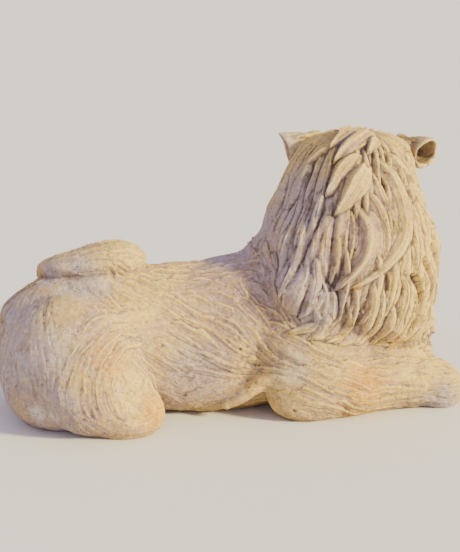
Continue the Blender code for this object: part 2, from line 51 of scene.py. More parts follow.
lionSettings = {
    "coarseGrain": 0.7,  # cell that fuses the large masses
    "fineGrain": 0.235,  # cell of the skin that is carved
    "triangles": 190000,
    "headPlace": (29.3, 2.0, 48.5),
    "headHeading": 66,  # degrees from +X towards +Y
    "headPitch": 6,
    "earWall": 0.62,
    "earSpread": 14.4,
    "earLift": 5.2,
    "earCup": (5.2, 3.2, 3.1),
    "earOpen": {1: 108, -1: 126},  # degrees, for the left and the right ear
    "earFall": 12,
    "maneAxis": (28, 0),  # X and Y of the upright line that the mane is round
    "maneBell": (  # height, X and Y of the middle, half width in X and in Y
        (-1, 31, 3, 10, 9), (6, 30.5, 2.5, 11, 10.5), (11, 29.6, 1, 12.8, 12.4), (15, 29, 0.8, 15.8, 14.4),
        (19, 27.3, 0.5, 16.9, 16.2), (24, 26.4, 0, 18, 17), (30, 26, -0.5, 18.4, 17),
        (36, 26.4, -1, 18, 16), (42, 26.6, -1.2, 14.7, 13.6), (47, 26.9, -1.4, 12.6, 11.8),
        (51, 27.3, -1.2, 11.2, 10.2), (55, 28, -0.8, 8.8, 8), (57.1, 28.6, -0.4, 6, 5.4), (58, 28.8, 0, 2, 2),
    ),
    "lockHeight": 1.25,  # how far a lock stands out
    "lockSweep": 12,  # degrees that a lock swings towards the rump as it falls
    "lockRows": (
        # height of the roots, fall, degrees between locks, half width, height
        (54, 20, 21, 2.0, 0.9),
        (46, 21, 17, 2.1, 1.0),
        (38, 18, 12, 2.0, 1.1),
        (31, 15, 10.5, 1.9, 1.15),
        (26, 12, 10, 1.9, 1.1),
        (18, 12, 13, 1.9, 0.95),
        (10, 9, 14, 1.8, 0.8),
    ),
    "faceLow": 38,
    "maneEdge": (  # how low the mane reaches at each turn
        (-180, 19), (-125, 34.5), (-64, 34.5), (-52, 22), (-40, 19.5), (-15, 17), (10, 15.5), (30, 13.5), (50, 13),
        (70, 12), (78, 0), (118, 0), (130, 10), (150, 14), (180, 19),
    ),
    "ruff": (
        # radius and place forwards where a lock starts and ends round the face, how many
        (9.8, 15.5, 5.0, -2.0, 26),
        (9.4, 14.0, 7.0, 1.5, 24),
        (9.0, 12.4, 8.4, 4.6, 22),
    ),
    "bigLocks": (
        # half width, height, layer, flutes, side of the crest, then (turn, height) places from root to tip
        (2.2, 1.3, 0.15, 2, 0.5, (-30, 58.2), (-48, 56.5), (-62, 53), (-72, 48)),
        (2.3, 1.4, 0.3, 0, -0.45, (20, 58.4), (-30, 57.6), (-44, 54.5)),
        (2.3, 1.6, 0.5, 2, -0.45, (60, 58), (8, 57.2), (-20, 55.6), (-36, 52.2)),
        (1.5, 1.3, 0.55, 0, -0.4, (30, 57), (14, 56), (0, 54.2)),
        (2.3, 1.5, 0.4, 0, -0.5, (-1, 53.9), (-20, 52.4), (-37, 46.2)),
        (2.5, 1.7, 0.6, 0, -0.5, (1, 53.2), (-11, 49.4), (-29, 42.6)),
        (1.6, 1.0, 0.15, 0, 0.5, (0, 52.4), (9, 46.5), (17, 40), (14, 34)),
        (2.7, 1.6, 0.35, 2, 0.45, (8, 55), (22, 49), (25, 40.3), (3, 32.8), (-22, 28.4)),
        (1.9, 1.3, 0.25, 0, 0.5, (-8, 48.4), (4, 44.4), (8, 38), (0, 32.6)),
        (3.6, 1.8, 0.35, 2, -0.3, (-14, 45.6), (-3, 40), (-7, 34.5), (-27, 28.2)),
        (1.8, 1.2, 0.1, 0, 0.5, (-19, 45.5), (-17, 39), (-21, 31)),
        (1.7, 1.1, 0.1, 0, 0.5, (-27, 44), (-25, 38), (-29, 29)),
        (1.7, 1.1, 0.1, 0, 0.5, (-32, 47), (-36, 39), (-36, 31)),
        (2.2, 1.4, 0.3, 2, 0.4, (14, 56), (38, 50.5), (44, 42), (36, 33.5)),
        (2.4, 1.3, 0.2, 2, 0.3, (40, 57), (54, 49.5), (54, 42), (48, 34)),
        (2.3, 1.5, 0.3, 0, 0.4, (70, 57), (66, 51), (68, 44), (62, 36)),
        (2.5, 1.5, 0.2, 2, 0.4, (84, 56), (78, 48), (81, 40), (76, 32), (66, 26)),
        (2.4, 1.5, 0.3, 0, 0.4, (98, 54), (92, 46), (95, 38), (90, 30)),
        (2.2, 1.4, 0.3, 0, 0.4, (72, 40), (72, 33), (67, 26), (56, 20)),
        (2.2, 1.4, 0.3, 0, 0.4, (84, 34), (84, 27), (78, 20), (68, 15)),
        (2.2, 1.4, 0.2, 2, 0.4, (98, 36), (98, 28), (94, 20), (88, 13)),
        (2.4, 1.3, 0.15, 2, 0.3, (58, 46), (57, 37), (59, 29), (50, 22)),
        (2.0, 1.2, 0.15, 0, 0.4, (46, 40), (45, 33), (38, 27), (24, 22)),
        (1.8, 1.2, 0.15, 0, 0.4, (30, 36), (36, 30), (34, 24), (20, 18.5)),
        (2.2, 1.2, 0.2, 2, 0.5, (-62, 54.5), (-65, 48), (-68, 43), (-74, 38.5)),
        (2.2, 1.3, 0.25, 2, 0.5, (-38, 51.5), (-46, 43), (-48, 35), (-55, 24)),
    ),
    "deepFolds": (
        # half width, depth, then (turn, height) places
        (1.3, 2.4, (46, 36), (56, 31), (62, 26), (58, 20), (48, 16)),
        (1.3, 2.4, (54, 40), (66, 33), (70, 26), (66, 20), (58, 16)),
        (1.3, 2.4, (60, 48), (70, 40), (76, 31), (74, 23), (66, 17)),
        (1.2, 2.2, (50, 53), (62, 46), (66, 38), (63, 32)),
        (1.3, 2.3, (72, 54), (80, 46), (84, 38), (84, 28)),
        (1.2, 2.2, (36, 34), (46, 29), (50, 24), (43, 18)),
        (1.1, 1.9, (26, 31), (35, 27), (38, 22), (30, 17)),
        (1.1, 1.5, (94, 52), (92, 43), (96, 33), (92, 22)),
        (1.3, 0.9, (-40, 50), (-46, 44), (-44, 36), (-50, 28)),
        (1.4, 0.8, (-54, 52), (-60, 45), (-60, 38)),
    ),
    "strokes": 2600,
    "strokeDepth": 0.36,  # of the finger's trough
    "strokeLip": 0.42,  # of the clay pushed up beside it
    "pits": 1500,
}


def deselectAll():
    for thing in bpy.context.selected_objects:
        thing.select_set(False)


def linked(name, mesh):
    thing = bpy.data.objects.new(name, mesh)
    bpy.context.scene.collection.objects.link(thing)
    return thing


def headSpace():  # X forwards to the nose, Y to the lion's left, Z up
    turn = Matrix.Rotation(math.radians(lionSettings["headHeading"]), 4, "Z")
    tilt = Matrix.Rotation(math.radians(lionSettings["headPitch"]), 4, "Y")
    return Matrix.Translation(lionSettings["headPlace"]) @ turn @ tilt


def lump(centre, radii, heading=0.0, pitch=0.0, roll=0.0, space=None):
    deselectAll()
    bpy.ops.mesh.primitive_uv_sphere_add(segments=40, ring_count=24, radius=1.0)
    egg = bpy.context.object
    turn = (
        Matrix.Rotation(math.radians(heading), 4, "Z")
        @ Matrix.Rotation(math.radians(pitch), 4, "Y")
        @ Matrix.Rotation(math.radians(roll), 4, "X")
    )
    place = Matrix.Translation(centre) @ turn @ Matrix.Diagonal((*radii, 1.0))
    egg.data.transform((space or Matrix.Identity(4)) @ place)
    return egg


def smoothed(stations, steps=5):  # a smooth run of stations through the given ones
    rows = np.array(stations, float)
    padded = np.vstack([2 * rows[0] - rows[1], rows, 2 * rows[-1] - rows[-2]])
    made = []
    for i in range(1, len(padded) - 2):
        a, b, c, d = padded[i - 1 : i + 3]
        for k in range(steps):
            t = k / steps
            square = 2 * a - 5 * b + 4 * c - d
            cube = 3 * b - a - 3 * c + d
            made.append(0.5 * (2 * b + (c - a) * t + square * t**2 + cube * t**3))
    made.append(rows[-1])
    return np.array(made)


def skinRings(rings):
    shape = bmesh.new()
    loops = [[shape.verts.new(p) for p in ring] for ring in rings]
    count = len(loops[0])
    for low, high in zip(loops, loops[1:]):
        for i in range(count):
            j = (i + 1) % count
            shape.faces.new((low[i], low[j], high[j], high[i]))
    for loop in (loops[0], loops[-1]):
        pole = shape.verts.new(sum((v.co for v in loop), Vector()) / count)
        for i in range(count):
            shape.faces.new((loop[i], loop[(i + 1) % count], pole))
    bmesh.ops.recalc_face_normals(shape, faces=shape.faces)
    mesh = bpy.data.meshes.new("loft")
    shape.to_mesh(mesh)
    shape.free()
    return linked("loft", mesh)


def limb(stations, space=None, around=32):  # each station is x, y, z, half width, half height
    rows = smoothed(stations)
    path = rows[:, :3]
    along = np.gradient(path, axis=0)
    along /= np.linalg.norm(along, axis=1)[:, None]
    rings = []
    for place, way, (wide, high) in zip(path, along, rows[:, 3:]):
        side = Vector((-way[1], way[0], 0.0))
        if side.length < 0.2:
            side = Vector((0.0, 1.0, 0.0))
        side.normalize()
        up = Vector(way).cross(side)
        ring = []
        for k in range(around):
            a = 2 * math.pi * k / around
            point = Vector(place) + side * (wide * math.cos(a)) + up * (high * math.sin(a))
            ring.append(space @ point if space else point)
        rings.append(ring)
    return skinRings(rings)


def stack(stations, squareness=2.0, around=64):  # each station is z, x, y, half width in X, half width in Y
    rings = []
    for z, x, y, wide, deep in smoothed(stations):
        ring = []
        for k in range(around):
            a = 2 * math.pi * k / around
            c, s = math.cos(a), math.sin(a)
            reach = (abs(c) ** squareness + abs(s) ** squareness) ** (-1 / squareness)
            ring.append(Vector((x + wide * reach * c, y + deep * reach * s, z)))
        rings.append(ring)
    return skinRings(rings)


def bodyMasses():
    trunk = [
        limb([
            (-47.5, -1, 13, 4, 5), (-45, -1, 13, 9, 9.2), (-39, 0, 14.3, 13, 13.7),
            (-28, 0, 15.5, 13.5, 15.9), (-15, 0, 15.3, 12.5, 15.8), (-4, 0, 15.3, 12.5, 15.8),
            (6, 0, 16.2, 13.5, 16.7), (16, 0, 17, 14.5, 18), (26, 0, 17.5, 14, 18),
            (35, 0, 17.5, 12, 16), (41, 0, 17.5, 8, 12), (43, 0, 17.5, 4, 6),
        ]),
        lump((-2, 0, 7.5), (27, 12.2, 8.6)),
    ]
    rump = [
        lump((-35.5, 7, 6.5), (12, 11.5, 9.5)), lump((-35, -4, 8), (12.4, 13, 10)),
        lump((-23.5, -2, 30), (8, 4.4, 2.2)),  # under the tuft of the tail
    ]
    nearHaunch = [
        lump((-32.4, -7.5, 15.8), (14, 12, 12.6), heading=-6, pitch=10),
        lump((-30, -12.5, 9.5), (13, 9.6, 10), heading=-12, pitch=20),
        lump((-24.5, -15, 5.4), (9.4, 6.3, 6.8), heading=-6, pitch=16),
    ]
    farHaunch = [
        lump((-31.4, 8, 14.8), (14.2, 10.5, 12), heading=6, pitch=10),
        lump((-26, 13, 9.5), (14, 8, 10), heading=10, pitch=10),
        lump((-17.5, 15.5, 7.5), (6.4, 5.4, 8)),
        limb([
            (-26, 19.5, 3, 3.5, 3), (-19, 20, 3, 3.6, 3.2),
            (-12, 19.5, 3, 3.8, 3.2), (-8, 19, 2.6, 3.2, 2.6),
        ]),
        lump((-8.5, 19, 2.6), (5.4, 4.4, 3.8)),
    ]
    nearForeleg = [
        lump((17, -9.8, 15.5), (12.8, 8.2, 11.5)),
        lump((17.5, -12.5, 8.5), (12.4, 6.4, 8.5), pitch=12),
        lump((17, -13.2, 4.6), (10.2, 5.8, 6)),
        limb([
            (-2.5, -11.6, 2.8, 1.2, 1.2), (2, -12.7, 5.6, 1.7, 1.5),
            (6, -13.6, 8.8, 1.9, 1.6), (10, -13.6, 12.4, 1.6, 1.6),
        ]),
        limb([
            (16, -13, 4.6, 4.5, 5), (24, -13, 5.2, 5.6, 6), (32, -11.5, 5.6, 5.2, 6.2),
            (40, -11, 5.3, 5, 5.7), (45, -11, 4.7, 5.2, 5), (48.5, -11, 4, 4.2, 3.8),
        ]),
        lump((45.5, -11, 3.6), (5.4, 5.5, 5.2)),
        lump((37.5, -6.5, 11), (7.5, 5, 5)),  # where the chest meets the leg
    ]
    farForeleg = [
        lump((18, 9.6, 15.5), (12, 8.2, 11.5)),
        lump((18.5, 12.5, 8.5), (11, 6.2, 8.5), pitch=14),
        lump((17.5, 13.2, 4.5), (9, 5.6, 5.8)),
        limb([
            (15, 13.5, 4.6, 4.5, 5), (23, 14.5, 4.8, 5, 5.4), (31, 16, 4.6, 4.6, 5),
            (37, 17, 4.2, 4.4, 4.6), (41, 17.5, 3.6, 4, 3.6),
        ]),
        lump((39.5, 17.4, 3.4), (5.2, 5, 4.6), heading=8),
    ]
    return trunk + rump + nearHaunch + farHaunch + nearForeleg + farForeleg


def maneMasses():
    bell = stack(lionSettings["maneBell"], squareness=2.25)
    capes = [lump((16.5, side * 8.2, 25), (9.6, 9, 11), heading=side * 12) for side in (-1, 1)]
    return [bell, lump((14.5, -0.5, 31.5), (10, 10, 6.5))] + capes


def headMasses(space):
    muzzle = [(4, 0, 4.4, 4.6, 3.4), (9, 0, 3.6, 3.9, 3.2), (14, 0, 1.6, 3.3, 2.9), (18, 0, -0.4, 3, 2.4)]
    made = [
        lump((0, 0, 1.2), (10.4, 10.4, 8.8), space=space),
        lump((5.2, 0, 1.2), (7.2, 8.2, 7.4), space=space),
        limb(muzzle, space=space),
        lump((12.4, 0, -2.8), (6.4, 5.6, 4.8), space=space),
        lump((8.6, 0, -6.6), (7.4, 5.8, 4.6), space=space),
    ]
    for side in (1, -1):
        made.append(lump((6.8, side * 5.8, -1.6), (5.4, 4, 5), space=space))
    return made


def faceDetails(space):
    made = [
        lump((13.4, 0, -8.2), (3.8, 3.6, 2.7), space=space),  # chin
        lump((18.6, 0, -0.6), (1.8, 3, 1.9), pitch=20, space=space),  # nose
    ]
    for side in (1, -1):
        made += [
            lump((14.8, side * 2.9, -3.6), (4.4, 3.5, 3.5), space=space),  # lip
            # brow, eye and the ridge under the eye
            lump((10.6, side * 4.2, 5), (2.4, 3.6, 1.6), heading=-24 * side, roll=-16 * side, space=space),
            lump((10.9, side * 4.5, 2.7), (1.8, 2, 1.6), space=space),
            lump((10.5, side * 5, 0.7), (2.2, 2.9, 1.1), heading=-24 * side, roll=16 * side, space=space),
        ]
    return made


def earPlace(side):  # 1 is the lion's left, -1 its right
    return (
        Matrix.Translation((1.2, side * lionSettings["earSpread"], lionSettings["earLift"]))
        @ Matrix.Rotation(math.radians(side * lionSettings["earOpen"][side]), 4, "Z")
        @ Matrix.Rotation(math.radians(lionSettings["earFall"]), 4, "Y")
    )


def earRoot(side, space):  # the thick of the clay where an ear grows from the head
    depth, wide, high = lionSettings["earCup"]
    return lump((-0.95 * depth, 0, 0), (0.5 * depth, 0.6 * wide, 0.6 * high), space=space @ earPlace(side))


def ear(side, space):
    deselectAll()
    bpy.ops.mesh.primitive_uv_sphere_add(segments=48, ring_count=32, radius=1.0)
    cup = bpy.context.object
    bpy.ops.object.mode_set(mode="EDIT")
    bpy.ops.mesh.select_all(action="SELECT")
    bpy.ops.mesh.bisect(plane_co=(0.15, 0, 0), plane_no=(1, 0, 0), clear_outer=True)
    bpy.ops.object.mode_set(mode="OBJECT")
    for vert in cup.data.vertices:
        reach = max(0.0, vert.co.z)
        vert.co.y *= 1 - 0.16 * reach**2
        vert.co.x += 0.22 * reach**2
    cup.data.transform(Matrix.Diagonal((*lionSettings["earCup"], 1.0)))
    wall = cup.modifiers.new("wall", "SOLIDIFY")
    wall.thickness = lionSettings["earWall"]
    wall.offset = 0.0
    bpy.ops.object.modifier_apply(modifier="wall")
    cup.data.transform(space @ earPlace(side))
    return cup


def tail():
    return limb([
        (-43, -0.5, 19, 2.6, 2.6), (-46.6, 2, 17, 2.4, 2.4), (-47, 7, 12.5, 2.1, 2.1), (-43.5, 12, 12, 2, 2),
        (-39.5, 14.5, 17, 2, 2), (-36.6, 13, 23, 2, 2), (-36.4, 9, 28, 2, 2), (-36.2, 4.5, 30.4, 2.3, 2.2),
        (-34.4, 0.5, 31.7, 3, 2.5), (-30.5, -0.5, 32.3, 4, 3), (-26, -1, 33, 4.8, 3.7),
        (-21.5, -1.5, 33, 5, 4.2), (-18.6, -1.5, 31.8, 3, 3), (-17.4, -1.5, 31, 1.4, 1.4),
    ])


def fused(things, grain, smoothing, name):  # presses lumps into one skin and smooths it
    deselectAll()
    for thing in things:
        thing.select_set(True)
    bpy.context.view_layer.objects.active = things[0]
    bpy.ops.object.join()
    whole = bpy.context.object
    whole.name = name
    remesh = whole.modifiers.new("remesh", "REMESH")
    remesh.mode = "VOXEL"
    remesh.voxel_size = grain
    smooth = whole.modifiers.new("smooth", "SMOOTH")
    smooth.factor = 0.5
    smooth.iterations = smoothing
    for modifier in ("remesh", "smooth"):
        bpy.ops.object.modifier_apply(modifier=modifier)
    return whole


def cutFlat(thing):  # the underside that it stands on
    deselectAll()
    bpy.ops.mesh.primitive_cube_add(size=300, location=(0, 0, -150))
    ground = bpy.context.object
    cut = thing.modifiers.new("cut", "BOOLEAN")
    cut.operation = "DIFFERENCE"
    cut.object = ground
    deselectAll()
    thing.select_set(True)
    bpy.context.view_layer.objects.active = thing
    bpy.ops.object.modifier_apply(modifier="cut")
    bpy.data.objects.remove(ground)


class Skin:  # the surface being carved: its points, normals, heights, and a grid to find points quickly
    def __init__(self, mesh, cell=2.5):
        count = len(mesh.vertices)
        flat = np.empty(count * 3, np.float32)
        mesh.vertices.foreach_get("co", flat)
        self.points = flat.reshape(-1, 3).astype(float)
        mesh.vertices.foreach_get("normal", flat)
        self.normals = flat.reshape(-1, 3).astype(float)
        self.heights = np.zeros(count)
        self.comb = np.zeros(count)  # runs across the strokes, for the fine lines in them
        self.edge = np.ones(count)  # falls where the mane thins out
        shape = bmesh.new()
        shape.from_mesh(mesh)
        self.tree = BVHTree.FromBMesh(shape)
        shape.free()
        self.cell = cell
        self.low = self.points.min(0)
        places = np.floor((self.points - self.low) / cell).astype(int)
        self.size = places.max(0) + 1
        keys = (places[:, 0] * self.size[1] + places[:, 1]) * self.size[2] + places[:, 2]
        order = np.argsort(keys, kind="stable")
        found, starts = np.unique(keys[order], return_index=True)
        self.groups = dict(zip(found.tolist(), np.split(order, starts[1:])))

    def near(self, path, reach):
        places = set()
        for point in path:
            low = np.maximum(np.floor((point - reach - self.low) / self.cell).astype(int), 0)
            high = np.minimum(np.floor((point + reach - self.low) / self.cell).astype(int), self.size - 1)
            for x in range(low[0], high[0] + 1):
                for y in range(low[1], high[1] + 1):
                    for z in range(low[2], high[2] + 1):
                        places.add((x * self.size[1] + y) * self.size[2] + z)
        groups = [self.groups[key] for key in places if key in self.groups]
        return np.concatenate(groups) if groups else np.empty(0, int)

    def along(self, path, reach):  # index, share along the path, distance aside (with its sign), length
        index = self.near(path, reach)
        p, n = self.points[index], self.normals[index]
        best = np.full(len(index), 1e9)
        share, aside = np.zeros(len(index)), np.zeros(len(index))
        lengths = np.linalg.norm(np.diff(path, axis=0), axis=1)
        starts = np.concatenate([[0], np.cumsum(lengths)])
        for a, b, start, length in zip(path, path[1:], starts, lengths):
            if length < 1e-6:
                continue
            way = (b - a) / length
            t = np.clip((p - a) @ way, 0, length)
            off = p - a - t[:, None] * way
            distance = np.linalg.norm(off, axis=1)
            closer = distance < best
            best[closer] = distance[closer]
            share[closer] = (start + t[closer]) / starts[-1]
            side = np.sign(np.einsum("ij,ij->i", off, np.cross(n, way)))
            aside[closer] = (distance * side)[closer]
        kept = best < reach
        return index[kept], share[kept], aside[kept], starts[-1]


def onMane(skin, turn, height):  # turn 0 faces -Y and 90 faces +X
    a = math.radians(turn)
    out = Vector((math.sin(a), -math.cos(a), 0.0))
    middle = Vector((*lionSettings["maneAxis"], height))
    found = skin.tree.ray_cast(middle + out * 40, -out)[0]
    return found if found else middle


def fallingPath(skin, places, steps=6):
    curve = smoothed([(turn, height, 0.0) for turn, height in places], steps)
    return np.array([skin.tree.find_nearest(onMane(skin, turn, height))[0] for turn, height, _ in curve])


def laidPath(skin, places, steps=5):
    return np.array([skin.tree.find_nearest(Vector(p))[0] for p in smoothed(places, steps)])


def foldMane(skin):  # the long soft folds that the locks lie in
    p = skin.points
    bell = smoothed(lionSettings["maneBell"])
    x, y, wide, deep = (np.interp(p[:, 2], bell[:, 0], bell[:, k]) for k in range(1, 5))
    around = ((np.abs(p[:, 0] - x) / wide) ** 2.25 + (np.abs(p[:, 1] - y) / deep) ** 2.25) ** (1 / 2.25)
    for side in (-1, 1):
        cape = np.linalg.norm((p - (16.5, side * 8.2, 25)) / (9.6, 9, 11), axis=1)
        around = np.minimum(around, cape)
    axisX, axisY = lionSettings["maneAxis"]
    turn = np.degrees(np.arctan2(p[:, 0] - axisX, axisY - p[:, 1]))
    lowest = np.interp(turn, *zip(*lionSettings["maneEdge"]))
    skin.edge = np.clip((p[:, 2] - lowest + 0.5) / 5, 0.3, 1)
    cover = np.clip((1.2 - around) / 0.1, 0, 1) * np.clip((p[:, 2] - lowest) / 6, 0, 1)
    cover *= np.clip((60 - p[:, 2]) / 6, 0.4, 1) * (1 + 0.55 * np.exp(-(((turn - 78) / 34) ** 2)))
    face = np.abs((turn - 156 + 180) % 360 - 180) < 44
    cover[face & (p[:, 2] > lionSettings["faceLow"])] = 0
    t = np.clip((58 - p[:, 2]) / 45, 0, 1)
    swing = -np.cos(np.radians(turn)) * lionSettings["lockSweep"] * (1.7 * t**2.6 - 0.7 * t)
    a = np.radians(turn - swing)
    for index in np.nonzero(cover > 0)[0]:
        c, s, z = math.cos(a[index]), math.sin(a[index]), p[index, 2]
        bent = 0.55 * noise.noise((2.2 * c, 2.2 * s, z / 11))
        broad = abs(noise.noise((6.2 * c + bent, 6.2 * s - bent, z / 15)))
        narrow = abs(noise.noise((15 * c + bent, 15 * s, z / 9 + 7)))
        fold = 1.35 * min(1.0, broad / 0.34) ** 0.75 + 0.42 * min(1.0, narrow / 0.34) ** 0.8
        skin.heights[index] = max(0.05, fold * cover[index])
        skin.comb[index] = 17 * a[index] + 3 * bent


def raiseLock(skin, path, width, height, crest=0.5, layer=0.3, flutes=0, scoop=1.3):
    index, t, aside, length = skin.along(path, width)
    swell = np.clip(t / 0.38, 0.02, 1) ** 0.55 * (1 - np.clip((t - 0.38) / 0.62, 0, 0.985)) ** 0.7
    half = width * swell
    s = aside / half
    inside = np.abs(s) < 1
    index, t, s, aside = index[inside], t[inside], s[inside], aside[inside]
    rise = np.where(s < crest, (s + 1) / (1 + crest), (1 - s) / (1 - crest))
    rise = (0.5 - 0.5 * np.cos(math.pi * rise)) ** 0.8 if scoop is None else rise**scoop
    ends = np.clip(t / 0.18, 0, 1) ** 0.8 * np.clip((1 - t) / 0.1, 0, 1) ** 0.5
    ripple = 0.05 * np.sin(aside * 9 + 40 * math.sin(length * 7))
    if flutes:
        ripple = ripple + 0.3 * (0.5 - np.abs(np.sin(math.pi * flutes * (s + 1) / 2 + 0.6 * t)))
    made = height * (layer + rise + ripple * np.clip(1 - np.abs(s) ** 4, 0, 1)) * ends
    above = made > skin.heights[index]
    skin.heights[index[above]] = made[above]
    skin.comb[index[above]] = aside[above] + length


def cutGroove(skin, path, width, depth):
    index, t, aside, _ = skin.along(path, width)
    ends = np.clip(t / 0.15, 0, 1) * np.clip((1 - t) / 0.15, 0, 1)
    skin.heights[index] -= depth * (1 - (aside / width) ** 2) ** 2 * ends**0.5


def strokeWay(p, n):  # the way that a finger went here
    x, y, z = p
    side = 1.0 if y < 0 else 0.8
    knee = (-21.0, 12.5)
    reach = math.hypot(x - knee[0], z - knee[1])
    way = Vector((0.76, 0.0, -0.62)) if x < 0 else Vector((0.6, 0.0, -0.8))
    if n[2] > 0.72:
        way = Vector((1.0, 0.15 * math.sin(0.5 * x), 0.0))
    if x < -24:
        way = Vector((0.3, 0.0, -1.0))
    if x < -18 and abs(y) > 5 and 6 < reach < 19 and z < 26:
        circling = Vector((z - knee[1], 0.0, knee[0] - x)).normalized()
        share = min(1.0, max(0.0, (19 - reach) / 5))
        way = way.normalized().lerp(-circling * side, share)
    if -12 < x < 9 and z < 18 and y < -8:
        way = Vector((0.76, 0.0, -0.07 * (z - 9)))
    elif x > 5 and z < 21:
        way = Vector((0.9, 0.0, -0.35))
    if x > 26 and z < 14:
        way = Vector((1.0, 0.0, -0.06))
    if x < -14 and z > 30.5 and abs(y) < 6:
        way = Vector((1.0, -0.12, 0.1 * math.sin(x)))
    if x < -44:
        way = Vector((0.0, 0.3, -1.0))
    return way


def dragFinger(skin, path, width, depth, lip, free, tilt):
    index, t, aside, _ = skin.along(path, width)
    index, t, aside = index[free[index]], t[free[index]], aside[free[index]]
    half = width * np.clip(t / 0.3, 0.05, 1) ** 0.6 * (1 - np.clip((t - 0.3) / 0.7, 0, 0.97)) ** 0.5
    s = aside / half
    inside = np.abs(s) < 1
    index, t, s, aside = index[inside], t[inside], s[inside], aside[inside]
    across = (s + 1) / 2
    shape = lip * across**1.5 - 0.7 * depth * np.sin(math.pi * across) + 0.14 * depth * np.sin(s * 11) + tilt
    cover = np.clip(t / 0.15, 0, 1) * np.clip((1 - t) / 0.2, 0, 1) * np.clip((s + 1) / 0.3, 0, 1)
    skin.heights[index] += (shape - skin.heights[index]) * cover
    skin.comb[index[cover > 0.4]] = aside[cover > 0.4] + 20 * abs(tilt)


def dragFingers(skin):
    free = skin.heights < 0.2
    seeds = chance.choice(np.nonzero(free)[0], lionSettings["strokes"])
    for seed in seeds:
        point, normal = Vector(skin.points[seed]), Vector(skin.normals[seed])
        x, y, z = point
        onHead = z > 36
        hidden = y > 4 and not onHead
        length = chance.uniform(6.0, 12.0)
        width = chance.uniform(0.9, 1.7)
        depth = lionSettings["strokeDepth"]
        stray = 0.3
        if x < -20:
            width, depth, stray = width * 0.7, depth * 0.8, 0.22
        if -5 < x < 9 and z < 11 and y < -9:
            width, depth = width * 0.6, depth * 0.25
        if x < -13 and z < 12:
            width, depth = width * 0.8, depth * 0.4
        if x < -33 and z < 30:
            width, length, depth, stray = width * 0.7, length * 1.4, depth * 0.3, 0.1
        if x > 26 and not onHead:
            width, depth = width * 0.7, depth * 0.8
        if onHead:
            width, length, depth = width * 0.5, length * 0.4, depth * 0.4
        if hidden:
            depth *= 0.75
        turn = chance.normal(0, 0.2 * stray) + stray * noise.noise(point * 0.1)
        path = [point]
        for k in range(5):
            way = strokeWay(point, normal)
            if onHead:
                way = Vector((-0.4, -0.9, -0.2))
            way = way - normal * way.dot(normal)
            if way.length < 0.05:
                break
            way.normalize()
            way.rotate(Matrix.Rotation(turn, 3, normal))
            found, facing, _, _ = skin.tree.find_nearest(point + way * length / 5)
            point, normal = found, facing
            path.append(point)
        if len(path) < 3:
            continue
        tilt = chance.uniform(-0.06, 0.1)
        lip = lionSettings["strokeLip"] * depth / lionSettings["strokeDepth"] * chance.uniform(0.5, 1.3)
        dragFinger(skin, np.array(path), width, depth * chance.uniform(0.6, 1.3), lip, free, tilt)


def pressPits(skin):
    for seed in chance.choice(len(skin.points), lionSettings["pits"]):
        place = skin.points[seed]
        size = 0.22 + 0.3 * chance.random() ** 3
        index = skin.near([place], size)
        distance = np.linalg.norm(skin.points[index] - place, axis=1) / size
        inside = distance < 1
        skin.heights[index[inside]] -= 0.6 * size * (1 - distance[inside] ** 2) ** 1.5


def addUnevenness(skin):
    rough = [
        0.16 * noise.noise(Vector(p) * 0.22)
        + 0.10 * noise.noise(Vector(p) * 0.7)
        + 0.05 * noise.noise(Vector(p) * 2.1)
        for p in skin.points.tolist()
    ]
    skin.heights += np.array(rough)


def softened(mesh, values, rounds):  # evens out a value over the neighbours of each point
    count = len(mesh.vertices)
    pairs = np.empty(len(mesh.edges) * 2, np.int32)
    mesh.edges.foreach_get("vertices", pairs)
    a, b = pairs[0::2], pairs[1::2]
    ends = np.maximum(np.bincount(a, minlength=count) + np.bincount(b, minlength=count), 1)
    for k in range(rounds):
        total = np.bincount(a, values[b], count) + np.bincount(b, values[a], count)
        values = 0.3 * values + 0.7 * total / ends
    return values


def hollowness(mesh, rounds):  # how far each point lies above its smoothed surroundings
    flat = np.empty(len(mesh.vertices) * 3, np.float32)
    mesh.vertices.foreach_get("co", flat)
    points = flat.reshape(-1, 3).astype(float)
    mesh.vertices.foreach_get("normal", flat)
    normals = flat.reshape(-1, 3)
    soft = np.column_stack([softened(mesh, points[:, axis], rounds) for axis in range(3)])
    return np.einsum("ij,ij->i", points - soft, normals)


